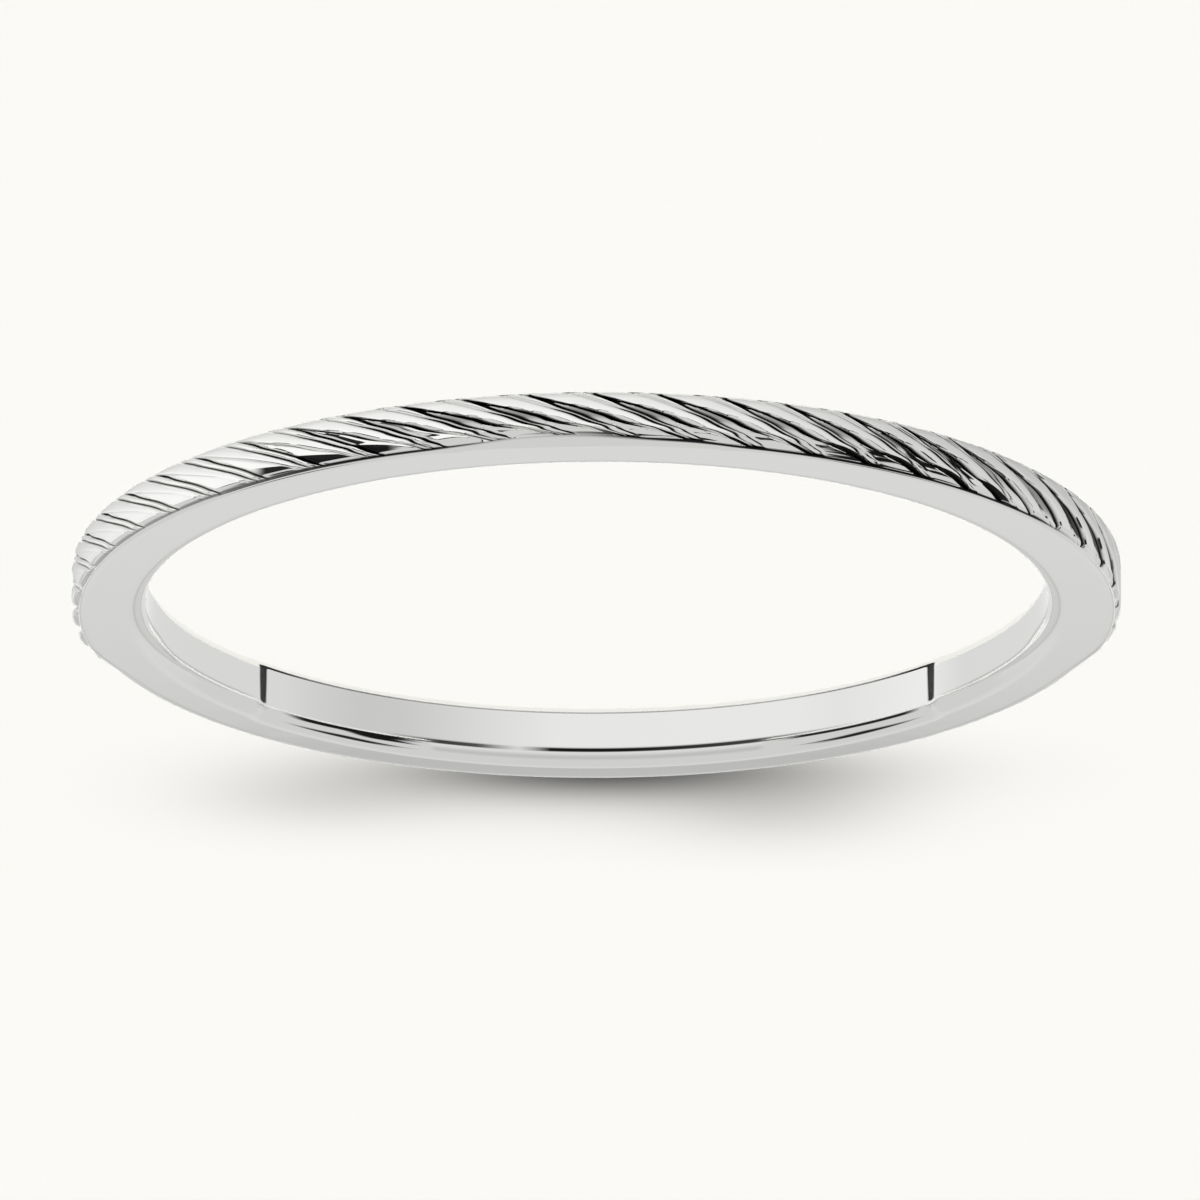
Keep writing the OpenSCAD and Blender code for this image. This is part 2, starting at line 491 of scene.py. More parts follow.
    def skin(self, at: Spots) -> tuple[Array, Array]:
        """Works out the rope's skin.

        Each strand lies between two grooves. Its skin is its top, with a low crown, and falls to
        the floor of each groove by the square of the distance into that groove's wall.

        Args:
            at: Spots on the skin.

        Returns:
            The radius in millimetres, and the painted shade in the grooves, folds and lobe, 0 to 1.
        """
        strand, local, across = at.strand, at.local, at.across
        bounds = self.strand_bounds(at)
        low, high = pick(bounds, strand)
        from_low = local * (high - low) * self.pitch_across
        from_high = (1.0 - local) * (high - low) * self.pitch_across
        tops = self.curves(at, RowColumn.BROAD_TOP, RowColumn.LOBE_TOP)
        roll = self.curve(at, RowColumn.LOBE_ROLL)
        notches = smooth_table(at.turn, self.notches) * ramp(across, *self.notch_rise)
        tops[..., Strand.FINE] += notches

        # No floor is higher than the two skins that meet there
        floors = self.curves(at, RowColumn.DEEP_FLOOR, RowColumn.THIN_FLOOR)
        starts = np.stack([tops[..., 0], tops[..., 1], tops[..., 2] + roll], -1)
        floors = np.maximum(floors, np.maximum(starts, np.roll(tops, 1, -1)))
        first_floor, last_floor = pick(np.concatenate([floors, floors[..., :1]], -1), strand)
        # Painted shade of each groove
        shades = self.curves(at, RowColumn.DEEP_SHADE, RowColumn.THIN_SHADE)
        first_shade, last_shade = pick(np.concatenate([shades, shades[..., :1]], -1), strand)

        top = np.take_along_axis(tops, strand[..., None], -1)[..., 0]
        top = top + np.where(strand == Strand.LOBE, roll * (1.0 - local) ** 2, 0.0)
        walls = np.array(self.walls + self.walls[:1])
        deep_wall = self.curve(at, RowColumn.DEEP_WALL)
        first_wall = np.where(strand == Strand.BROAD, deep_wall, walls[strand])
        first = np.clip(1.0 - from_low / first_wall, 0.0, 1.0) ** 2
        last = np.clip(1.0 - from_high / walls[strand + 1], 0.0, 1.0) ** 2
        drop = mix(mix(top, first_floor, first), last_floor, last)

        # On the +X flank the lobe and the broad strand before it are one pillow
        behind = mix(low, high, local) - bounds[..., Strand.LOBE]
        fine = bounds[..., Strand.LOBE] - bounds[..., Strand.FINE]
        joined = (behind + (behind < 0.0)) / (1.0 - fine)
        plus = np.maximum(at.flank, 0.0)
        pillow = smooth_table(at.turn, self.pillow) * plus * (hump(joined) - self.pillow_level)
        crown = self.crown * hump(local) + np.where(strand == Strand.FINE, 0.0, pillow)
        radius = self.sizes.crest_r - self.sizes.strand_h * drop + crown
        # Painted shade grows into each groove's wall as the skin falls
        shade = np.maximum(first * first_shade, last * last_shade)

        # Folds in the pillows, and in the lobes of the middle, each with painted shade along it
        on_pillow = plus * (strand != Strand.FINE)
        on_lobe = (1.0 - np.abs(at.flank)) * (strand == Strand.LOBE)
        for folds, span, here, share in (
            (self.flank_folds, self.flank_fold_span, joined, on_pillow),
            (self.folds, self.fold_span, local, on_lobe),
        ):
            for place, width, depth_or_painted_shade, dark in folds:
                fold = np.clip(1.0 - np.abs(here - place) / width, 0.0, 1.0)
                fold = window(across, span) * share * fold
                radius = radius - depth_or_painted_shade * smooth_step(fold)
                shade = np.maximum(shade, dark * fold)
        # Painted dark reflection inside the lobe
        inside = self.curve(at, RowColumn.LOBE_SHADE) * smooth_table(at.turn, self.lobe_dark)
        return radius, np.maximum(shade, np.where(strand == Strand.LOBE, inside, 0.0))

    def edge_shade(self, at: Spots) -> Array:
        """Painted shade in the crevices along the rope's two edges, and painted dark reflection on
        the ends of its strands.

        Args:
            at: Spots on the skin.

        Returns:
            The largest of the three shades, 0 to 1.
        """
        rim = smooth_table(at.turn, self.rim_shade) * ramp(at.across, *self.rim_reach)
        back = np.where(at.strand == Strand.FINE, *self.back_dark)
        back = back * (1.0 - ramp(np.abs(at.across - self.back_place), *self.back_reach))
        slant, stop, dark_strand = (
            np.where(at.turn > 0.0, plus, minus)
            for minus, plus in (self.facet_slant, self.facet_stop, (Strand.BROAD, Strand.LOBE))
        )
        facet = smooth_table(at.turn, self.facet_shade) * (at.strand == dark_strand)
        start = (at.across - self.facet_start) * self.facet_steep - slant * at.local
        facet = facet * smooth_step((start + self.facet_ahead) / self.facet_soft[0])
        facet = facet * smooth_step((stop - at.across) / self.facet_soft[1])
        return np.maximum(np.maximum(rim, facet), back * smooth_table(at.turn, self.line_shade))


@dataclass
class RingBand:
    """The cast band: builds its one closed skin and dresses it."""

    sizes: BandSizes
    twist: RopeTwist
    name: str = "rope_twist_band"
    columns_per_repeat: int = 27
    rope_rows: int = 42
    round_rows: int = 12
    corner_rows: int = 6
    face_rows: int = 4
    # Turn between the columns of the plain shank, the share of it that they keep clear of the
    # recess's own columns, and the turn that the rope's columns reach beyond their straight part
    shank_step: float = 1.0
    shank_clear: float = 0.4
    spare_turn: float = 2.0
    # The slope behind the rope, from the back face to its back edge: radius and place
    back_slope: Table = (
        (9.4, -0.59), (9.47, -0.575), (9.58, -0.538), (9.7, -0.494), (9.8, -0.459), (9.93, -0.42),
    )
    # Rise of the front corner over the groove floor, and lip at which it has become a slope
    rim_rise: float = 0.01
    lip_soft: float = 0.03
    # Rows on the wall of the finger hole, as shares of its flat half
    wall_places: tuple[float, ...] = (0.5, -0.1, -0.6)
    # Rows on the round before that wall, on the one behind it up to the step and past the step,
    # and on the small round at the foot of the step
    inner_counts: tuple[int, ...] = (9, 7, 6, 4)
    step_round: float = 0.02
    # The step's edge: how far out, as a share of that round, and how far down
    step_edge: tuple[Pair, ...] = ((0.5, 0.0), (0.15, 0.002))
    # Turns on which the strands sink into the shank, and the columns straighten
    sink: Pair = (99.0, 112.0)
    straighten: Pair = (116.0, 143.0)
    # Columns close to each end of the recess, as turns from it
    recess_columns: tuple[float, ...] = (0.0, 0.15, 0.3, 0.45, 0.6, 0.8, 1.0, 1.2, 1.4, 1.6)
    recess_blend: float = 3.4
    # Rows of the inner section where the recess's end walls and the step behind it start and end
    recess_row: int = 8
    step_row: int = 13
    step_end_row: int = 18
    # Painted shade of the recess's end walls, and each row's share of it
    recess_shade: float = 0.95
    recess_row_shades: tuple[float, ...] = (0.7, 0.8, 0.9, 1.0, 1.0, 1.0, 1.1, 1.15, 1.15, 1.0)
    # Painted shade that the step keeps, what it has more at the ends, and the turn that fades that
    step_shades: Pair = (0.26, 0.5)
    step_fade: float = 5.0
    # Faces that meet at more than this angle have a sharp edge
    sharp_angle: float = 38.0

    def column_layout(self) -> tuple[Array, Array]:
        """Lays the columns out round the finger, from +X over the rope to -X and on behind.

        On the rope a column's turn is the pitch times the middle less its repeat and its share of
        that repeat. On the shank the columns lie evenly, and closer at the recess's ends.

        Returns:
            The straight turn of each column, falling by a full turn in all, and its share of its
            repeat's columns, which is 0 on the plain shank.
        """
        twist, count = self.twist, self.columns_per_repeat
        reach = self.straighten[0] + self.spare_turn
        middle = twist.phase - twist.lean / 2
        first = math.ceil(middle - reach / twist.pitch_deg)
        last = math.floor(middle + reach / twist.pitch_deg)
        index = np.arange((last - first) * count)
        repeat = first + index // count
        share = (index % count) / count
        straight = twist.pitch_deg * (middle - repeat - share)
        start, stop = straight[-1], straight[0] - 360.0
        end = self.sizes.recess_arc / 2
        offsets = np.array(self.recess_columns)
        near = np.concatenate([-offsets[:0:-1], offsets])
        special = np.concatenate([-180.0 + end + near, -180.0 - end + near])
        plain = np.linspace(start, stop, int((start - stop) / self.shank_step))[1:-1]
        gaps = np.abs(plain[:, None] - special[None, :]).min(1)
        kept = plain[gaps > self.shank_clear * self.shank_step]
        shank = np.sort(np.concatenate([kept, special]))[::-1]
        return np.concatenate([straight, shank]), np.concatenate([share, np.zeros(len(shank))])

    def shank_profile(self) -> tuple[Array, ...]:
        """Outer section of the plain shank, in the same three stretches as the rope's.

        It is a quarter arc at the back, a straight wall and a quarter arc at the front. The rows
        near the wall's two ends belong to the arcs.

        Returns:
            Back corner, outside and front corner, each as rows of radius and place.
        """
        s = self.sizes
        centre_r, reach = s.shank_r - s.shank_round, s.half_w - s.shank_round
        corner, side = self.corner_rows, self.round_rows
        split = 90.0 * (1.0 - corner / (corner + side))
        back = arc_points((centre_r, -reach), s.shank_round, -90.0, -split, corner + 1)[:-1]
        lower = arc_points((centre_r, -reach), s.shank_round, -split, 0.0, side)
        upper = arc_points((centre_r, reach), s.shank_round, 0.0, split, side)
        wall_z = np.linspace(-reach, reach, self.rope_rows - 2 * side + 2)[1:-1]
        wall = np.stack([np.full_like(wall_z, s.shank_r), wall_z], 1)
        front = arc_points((centre_r, reach), s.shank_round, split, 90.0, corner + 1)[1:]
        return back, np.concatenate([lower, wall, upper]), front

    def rope_corners(self, lip: Array) -> tuple[Array, Array]:
        """Corners of the section beside the rope.

        The back corner follows a rounded slope from the back face to the rope's back edge. The
        front corner is a quarter round, which turns to a slope where there is a lip.

        Args:
            lip: How far the lip reaches back at each column.

        Returns:
            Back and front corner, as columns by rows by two of radius and place.
        """
        s, count = self.sizes, self.corner_rows
        table = np.array(self.back_slope)
        t = np.linspace(0.0, 1.0, count + 1)[:-1]
        key = np.linspace(0.0, 1.0, len(table))
        back = np.stack([smooth_curve(t, key, table[:, k]) for k in (0, 1)], 1)
        a = np.radians(np.linspace(0.0, 90.0, count))
        slope = np.linspace(0.0, 1.0, count)[None, :]
        flat = smooth_step(lip / self.lip_soft)[:, None]
        along_r = mix(np.cos(a)[None, :], 1.0 - slope, flat)
        along_z = mix(np.sin(a)[None, :], slope, flat)
        size = s.rim_round + lip[:, None]
        front_r = s.core_r + self.rim_rise + s.rim_round - size * (1.0 - along_r)
        front_z = s.half_w - size * (1.0 - along_z)
        back_all = np.broadcast_to(back[None], (len(lip),) + back.shape)
        return back_all, np.stack([front_r, front_z], -1)

    def grid(self) -> tuple[Array, Array]:
        """Works out the whole skin as one grid that closes both ways.

        Each point has a radius, a turn and a place along Z. On the rope they come from the twist,
        and they go over to those of the plain shank by how far the strands have sunk.

        Returns:
            Points in millimetres, as columns by rows by three, and the painted shade.
        """
        s, twist = self.sizes, self.twist
        straight, share = self.column_layout()
        around = np.where(straight < -180.0, straight + 360.0, straight)
        follow = 1.0 - ramp(np.abs(around), *self.straighten)

        # The outside: the rope, sunk into the shank at both ends
        back, outside, front = self.shank_profile()
        rows = np.linspace(0.0, 1.0, self.rope_rows)
        across = np.broadcast_to(rows, (len(share), self.rope_rows))
        shares = np.broadcast_to(share[:, None], across.shape)
        flank = straight_table(around, twist.flanks)[:, None]
        spots = Spots(across, np.broadcast_to(flank, across.shape))
        moved = twist.shear(spots, twist.place(spots, shares) - shares)
        turn = straight[:, None] + follow[:, None] * moved
        shown = np.where(turn < -180.0, turn + 360.0, turn)
        sunk = ramp(np.abs(shown), *self.sink)
        spots.turn = shown
        radius, painted_shading = twist.skin(spots)
        lip = smooth_table(shown[:, -1], twist.lip)
        rope_z = s.back_inset - s.half_w + across * (s.rope_w - lip[:, None] * across**3)
        skin_r = mix(radius, outside[None, :, 0], sunk)
        skin_z = mix(rope_z, outside[None, :, 1], sunk)
        # Painted shade of the grooves and edges, gone where the rope has sunk
        painted_shading = painted_shading * smooth_table(shown, twist.line_shade)
        painted_shading = np.maximum(painted_shading, twist.edge_shade(spots)) * (1.0 - sunk)

        # The corners keep the turn of the rope's first and last row, and sink as it does
        rope_back, rope_front = self.rope_corners(lip)
        first, last = sunk[:, :1, None], sunk[:, -1:, None]
        back, front = mix(rope_back, back[None], first), mix(rope_front, front[None], last)
        back_turn = np.broadcast_to(turn[:, :1], back.shape[:2])
        front_turn = np.broadcast_to(turn[:, -1:], front.shape[:2])

        # The inner side: front face, wall of the finger hole and back face
        inner = self.inner_profile(self.recess_weight(around))
        inner_turn = np.broadcast_to(straight[:, None], inner.shape[:2])
        ease = smooth_step(np.linspace(0.0, 1.0, self.face_rows + 2)[1:-1])[None, :]
        face_r = mix(front[:, -1:, 0], inner[:, :1, 0], ease)
        face_turn = mix(front_turn[:, -1:], straight[:, None], ease)
        rear_r = mix(inner[:, -1:, 0], back[:, :1, 0], ease)
        rear_turn = mix(straight[:, None], back_turn[:, :1], ease)
        face_z = np.full_like(face_r, s.half_w)

        # The painted shade of the crevice at the rim ends half way over the front corner
        fall = np.clip(1.0 - 2.0 * np.linspace(0.0, 1.0, front.shape[1]), 0.0, 1.0)[None, :]
        rim = smooth_table(shown[:, -1:], twist.rim_shade) * (1.0 - sunk[:, -1:]) * fall
        inner_shade = self.inner_shade(around, inner.shape[1])

        # All stretches of the section, each with its radius, place along Z, turn and painted shade
        stretches = (
            (back[..., 0], back[..., 1], back_turn, np.zeros(back.shape[:2])),
            (skin_r, skin_z, turn, painted_shading),
            (front[..., 0], front[..., 1], front_turn, rim),
            (face_r, face_z, face_turn, np.zeros_like(face_z)),
            (inner[..., 0], inner[..., 1], inner_turn, inner_shade),
            (rear_r, -face_z, rear_turn, np.zeros_like(face_z)),
        )
        r, z, turns, depth_or_painted_shade = (np.concatenate(parts, 1) for parts in zip(*stretches))
        return around_axis(r, turns, z), depth_or_painted_shade

    def inner_shade(self, around: Array, rows: int) -> Array:
        """Painted shade on the end walls of the recess and on the step behind it.

        The painted shade of an end wall is an arch over the wall, to the power of 1.5. The step's
        painted shade is darkest at the ends, and lighter from there by the distance over the fade.

        Args:
            around: Turn of each column.
            rows: How many rows the inner section has.

        Returns:
            The painted shade, 0 to 1, as columns by rows.
        """
        weight = self.recess_weight(around)[:, None]
        shade = np.zeros((len(around), rows))
        ends = self.recess_shade * hump(weight) ** 1.5 * np.array(self.recess_row_shades)
        shade[:, self.recess_row : self.step_end_row] = ends
        past_end = np.maximum(self.past_end(around), 0.0)[:, None]
        lasting, fading = self.step_shades
        step = weight * (lasting + fading * np.exp(-past_end / self.step_fade))
        on_step = shade[:, self.step_row : self.step_end_row]
        shade[:, self.step_row : self.step_end_row] = np.maximum(on_step, step)
        return shade

    def past_end(self, around: Array) -> Array:
        """How far a turn lies past the nearer end of the recess, towards the recess's middle."""
        return np.abs(around) - (180.0 - self.sizes.recess_arc / 2)

    def recess_weight(self, around: Array) -> Array:
        """1 in the recess and 0 outside it, with a steep wall at each end."""
        return smooth_step(self.past_end(around) / self.recess_blend + 0.5)

    def inner_profile(self, in_recess: Array) -> Array:
        """Inner section of each column, from the front face over the wall to the back face.

        In the recess the front round and the wall lie deeper, down to the step that is left at
        the back. Behind the step the back round is the same all round.

        Args:
            in_recess: 1 for columns in the recess, 0 outside it.

        Returns:
            Radius and place of each point, as columns by rows by two.
        """
        s = self.sizes
        reach = s.half_w - s.bore_round
        centre_r = s.bore_r + s.bore_round
        front_rows, under_rows, back_rows, foot_rows = self.inner_counts
        front = arc_points((centre_r, reach), s.bore_round, 90.0, 180.0, front_rows)
        wall = np.array([[s.bore_r, share * reach] for share in self.wall_places])
        step_z = s.recess_ledge - s.half_w
        step_at = 180.0 + math.degrees(math.asin((-reach - step_z) / s.bore_round))
        under = arc_points((centre_r, -reach), s.bore_round, 180.0, step_at, under_rows)[:-1]
        back = arc_points((centre_r, -reach), s.bore_round, step_at, 270.0, back_rows)
        plain = np.concatenate([front, wall, under, back])

        floor_r = s.bore_r + s.recess_depth
        edge_r, small = back[0, 0], self.step_round
        deep_front = front + np.array([s.recess_depth, 0.0])
        deep_z = np.linspace(reach, step_z + small, len(wall) + 2)[1:-1]
        deep_wall = np.stack([np.full(len(wall), floor_r), deep_z], 1)
        foot = arc_points((floor_r - small, step_z + small), small, 0.0, -90.0, foot_rows)
        top = np.array([[edge_r + small * out, step_z - down] for out, down in self.step_edge])
        recess = np.concatenate([deep_front, deep_wall, foot, top, back])
        weight = in_recess[:, None, None]
        return plain[None] * (1.0 - weight) + recess[None] * weight

    def build(self, material: bpy.types.Material) -> bpy.types.Object:
        """Makes the band's mesh object.

        Args:
            material: The finish of the whole band.

        Returns:
            The object, at the origin, in metres.
        """
        points, depth_or_painted_shade = self.grid()
        columns, rows = points.shape[:2]
        index = np.arange(columns * rows).reshape(columns, rows)
        right = np.roll(index, -1, axis=0)
        quads = np.stack(
            [index, np.roll(index, -1, axis=1), np.roll(right, -1, axis=1), right], -1
        ).reshape(-1, 4)
        mesh = bpy.data.meshes.new(self.name)
        mesh.vertices.add(columns * rows)
        mesh.vertices.foreach_set("co", (points * MM).astype(np.float32).ravel())
        mesh.loops.add(quads.size)
        mesh.loops.foreach_set("vertex_index", quads.astype(np.int32).ravel())
        mesh.polygons.add(len(quads))
        mesh.polygons.foreach_set("loop_start", np.arange(0, quads.size, 4, dtype=np.int32))
        mesh.update(calc_edges=True)
        # Painted shade of the grooves, crevices, strand ends and recess, which the finish darkens
        store(mesh, "painted_shade", depth_or_painted_shade)
        mesh.polygons.foreach_set("use_smooth", np.ones(len(quads), dtype=bool))
        mesh.set_sharp_from_angle(angle=math.radians(self.sharp_angle))
        mesh.materials.append(material)
        mesh.validate()
        ring = bpy.data.objects.new(self.name, mesh)
        # Its mirror images on the floor are left out, so the floor stays even
        ring.visible_diffuse = False
        bpy.context.scene.collection.objects.link(ring)
        LOG.info("%s: %d columns by %d rows", self.name, columns, rows)
        return ring


def linear(hex_colour: str) -> tuple[float, float, float, float]:
    """Turns an sRGB hex colour to linear values with full alpha.

    Args:
        hex_colour: A mark and six hex digits, two for each of red, green and blue.

    Returns:
        Red, green, blue and alpha, 0 to 1.
    """
    code = hex_colour.lstrip("#")
    channels = [int(code[i : i + 2], 16) / 255 for i in (0, 2, 4)]
    curve = [c / 12.92 if c <= 0.04045 else ((c + 0.055) / 1.055) ** 2.4 for c in channels]
    return (curve[0], curve[1], curve[2], 1.0)


def add_node(
    tree: bpy.types.NodeTree,
    kind: str,
    inputs: dict[str | int, object] | None = None,
    links: dict[str | int, bpy.types.NodeSocket] | None = None,
    **settings: object,
) -> bpy.types.Node:
    """Adds one node with its settings, values and links.

    Args:
        tree: The node tree.
        kind: The node's type name.
        inputs: Values for its input sockets, by name or number.
        links: Output sockets to link to its input sockets, by name or number.
        settings: The node's own properties.

    Returns:
        The new node.
    """
    node = tree.nodes.new(kind)
    for key, value in settings.items():
        setattr(node, key, value)
    for key, value in (inputs or {}).items():
        node.inputs[key].default_value = value
    for key, socket in (links or {}).items():
        tree.links.new(socket, node.inputs[key])
    return node


def new_material(name: str) -> tuple[bpy.types.Material, bpy.types.NodeTree]:
    """Makes a material whose node tree is still empty.

    Args:
        name: The real material that it stands for.

    Returns:
        The material and its node tree.
    """
    material = bpy.data.materials.new(name)
    material.use_nodes = True
    material.node_tree.nodes.clear()
    return material, material.node_tree


def store(mesh: bpy.types.Mesh, name: str, values: Array) -> None:
    """Stores one number per point in a mesh."""
    stored = mesh.attributes.new(name, "FLOAT", "POINT")
    stored.data.foreach_set("value", values.astype(np.float32).ravel())


@dataclass(frozen=True)
class PolishedWhiteGold:
    """14 carat white gold, cast, polished and rhodium plated.

    The plating gives a bright neutral mirror. The buff leaves it very slightly wavy, and can't
    reach the bottom of the grooves, which stay less smooth. Where the skin stores painted shade, in
    the grooves, crevices and recess ends and on some strands, the colour is a dark painted shade.
    """

    name: str = "polished rhodium plated white gold"
    metal: str = "#f1f1ef"
    # Dark colour painted where the skin stores painted shade
    painted_shade_colour: str = "#222223"
    roughness: float = 0.045
    groove_roughness: float = 0.35
    # Stored painted shade at which the dark painted colour and the grooves' roughness begin, and
    # are all there is
    painted_shade_from: float = 0.12
    painted_shade_full: float = 0.50
    wave_mm: float = 0.9
    wave_height_mm: float = 0.0012

    def material(self) -> bpy.types.Material:
        """Builds the finish as a node material.

        Returns:
            The material: its colour goes from the polished skin's to the dark painted shade, and
                its
            roughness to the grooves', as the stored painted shade grows.
        """
        material, tree = new_material(self.name)
        place = add_node(tree, "ShaderNodeTexCoord").outputs["Object"]
        noise = {"Scale": 1.0 / (self.wave_mm * MM), "Detail": 1.0}
        waves = add_node(tree, "ShaderNodeTexNoise", noise, {"Vector": place}).outputs["Fac"]
        painted_shading = add_node(tree, "ShaderNodeAttribute", attribute_name="painted_shade").outputs["Fac"]
        # How far the stored painted shade turns the metal dark and rough
        dark = add_node(
            tree,
            "ShaderNodeMapRange",
            {"From Min": self.painted_shade_from, "From Max": self.painted_shade_full},
            {"Value": painted_shading},
            interpolation_type="SMOOTHSTEP",
        ).outputs["Result"]
        colours = {6: linear(self.metal), 7: linear(self.painted_shade_colour)}
        colour = add_node(tree, "ShaderNodeMix", colours, {0: dark}, data_type="RGBA").outputs[2]
        roughness = {2: self.roughness, 3: self.groove_roughness}
        rough = add_node(tree, "ShaderNodeMix", roughness, {0: dark}).outputs[0]
        relief = {"Strength": 1.0, "Distance": self.wave_height_mm * MM}
        bump = add_node(tree, "ShaderNodeBump", relief, {"Height": waves}).outputs["Normal"]
        links = {"Base Color": colour, "Roughness": rough, "Normal": bump}
        shader = add_node(tree, "ShaderNodeBsdfPrincipled", {"Metallic": 1.0}, links)
        add_node(tree, "ShaderNodeOutputMaterial", links={"Surface": shader.outputs["BSDF"]})
        return material


@dataclass
class PhotoCamera:
    """The camera, fitted to the ring's outlines in the photo, in millimetres and radians.

    The photo has the side nearest to the camera at its top, so the camera is rolled by half a
    turn.
    """

    elevation: float = 0.3343025
    roll: float = 3.1446070
    distance: float = 300.004
    lens: float = 469.506
    pan: float = -0.00020234
    tilt: float = 0.00071848
    sensor_width: float = 36.0
    clip_m: Pair = (0.01, 10.0)

    def build(self) -> bpy.types.Object:
        """Makes the camera and sets it as the scene's.

        Its place is the distance from the ring's middle, at the elevation on the -Y side. It is
        aimed at the middle, panned and tilted by the small angles, and then rolled.

        Returns:
            The camera.
        """
        back = np.array([0.0, -math.cos(self.elevation), math.sin(self.elevation)])
        right = np.array([1.0, 0.0, 0.0])
        up = np.cross(right, -back)
        side = right * math.cos(self.pan) + back * math.sin(self.pan)
        ahead = right * math.sin(self.pan) - back * math.cos(self.pan)
        rise = up * math.cos(self.tilt) - ahead * math.sin(self.tilt)
        ahead = up * math.sin(self.tilt) + ahead * math.cos(self.tilt)
        cos_r, sin_r = math.cos(self.roll), math.sin(self.roll)
        axes = np.stack([side * cos_r - rise * sin_r, side * sin_r + rise * cos_r, -ahead], 1)
        data = bpy.data.cameras.new("camera")
        data.lens, data.sensor_width = self.lens, self.sensor_width
        data.clip_start, data.clip_end = self.clip_m
        camera = bpy.data.objects.new("camera", data)
        place = Matrix(axes.tolist()).to_4x4()
        place.translation = Vector(back * self.distance * MM)
        camera.matrix_world = place
        bpy.context.scene.collection.objects.link(camera)
        bpy.context.scene.camera = camera
        return camera


@dataclass(frozen=True)
class Card:
    """A studio card: a patch of a sphere round the ring that only the metal mirrors.

    Azimuth is 0 at the camera's side and grows towards +X, elevation is above the horizon, both
    in degrees. The soft margins, in degrees, fade it into the room.
    """

    name: str
    azimuth: Pair
    elevation: Pair
    brightness: float
    margin: Pair = (6.0, 3.0)
    distance: float = 240.0
    steps: tuple[int, int] = (48, 24)

    def build(self) -> bpy.types.Object:
        """Makes the card.

        A point lies at the distance, turned by the azimuth and raised by the elevation.

        Returns:
            The card.
        """
        shares = [np.linspace(0.0, 1.0, count) for count in self.steps]
        u, v = np.meshgrid(*shares, indexing="ij")
        rise = np.radians(mix(*self.elevation, v))
        place = around_axis(np.cos(rise), mix(*self.azimuth, u), np.sin(rise))
        across = (self.azimuth[1] - self.azimuth[0]) / self.margin[0]
        upward = (self.elevation[1] - self.elevation[0]) / self.margin[1]
        cover = smooth_step(np.minimum(u, 1.0 - u) * across)
        cover = cover * smooth_step(np.minimum(v, 1.0 - v) * upward)
        return mirror_card(self.name, place * self.distance, cover, self.brightness)


def sheet_object(name: str, points: Array, material: bpy.types.Material) -> bpy.types.Object:
    """Makes an open grid mesh as an object of the stage.

    Args:
        name: The object's name.
        points: Rows by columns by three, in metres.
        material: Its material.

    Returns:
        The object.
    """
    rows, columns = points.shape[:2]
    index = np.arange(rows * columns).reshape(rows, columns)
    quads = np.stack([index[:-1, :-1], index[1:, :-1], index[1:, 1:], index[:-1, 1:]], -1)
    mesh = bpy.data.meshes.new(name)
    mesh.from_pydata(points.reshape(-1, 3).tolist(), [], quads.reshape(-1, 4).tolist())
    mesh.materials.append(material)
    sheet = bpy.data.objects.new(name, mesh)
    bpy.context.scene.collection.objects.link(sheet)
    return sheet


def mirror_card(name: str, points: Array, cover: Array, glow: float | Array) -> bpy.types.Object:
    """Makes a card that glows, and that only the metal's reflections show.

    Args:
        name: The card's name.
        points: Rows by columns by three, in millimetres.
        cover: 1 where the card is whole and 0 where it has ended, at each point.
        glow: Its brightness, as one number or at each point.

    Returns:
        The card.
    """
    graded = isinstance(glow, Array)
    card = sheet_object(name, points * MM, card_material(None if graded else glow))
    if graded:
        store(card.data, "shade", glow)
    store(card.data, "cover", cover)
    for ray in ("camera", "diffuse", "shadow", "transmission", "volume_scatter"):
        setattr(card, f"visible_{ray}", False)
    return card


def card_material(brightness: float | None) -> bpy.types.Material:
    """Matt studio card in even light, pale or dark, that the metal shows without an edge.

    It glows at one brightness or as its shade attribute says, and ends where its cover is 0.

    Args:
        brightness: How bright it is, or None where its shade attribute says so.

    Returns:
        The material.
    """
    graded = brightness is None
    material, tree = new_material("graded studio card" if graded else "studio card")
    cover = add_node(tree, "ShaderNodeAttribute", attribute_name="cover").outputs["Fac"]
    clear = add_node(tree, "ShaderNodeBsdfTransparent").outputs["BSDF"]
    colour = (1.0 if graded else brightness,) * 3 + (1.0,)
    emission = add_node(tree, "ShaderNodeEmission", {"Color": colour, "Strength": 1.0})
    if graded:
        shade = add_node(tree, "ShaderNodeAttribute", attribute_name="shade").outputs["Fac"]
        tree.links.new(shade, emission.inputs["Strength"])
    glow = emission.outputs["Emission"]
    mixed = add_node(tree, "ShaderNodeMixShader", links={0: cover, 1: clear, 2: glow})
    add_node(tree, "ShaderNodeOutputMaterial", links={"Surface": mixed.outputs["Shader"]})
    return material


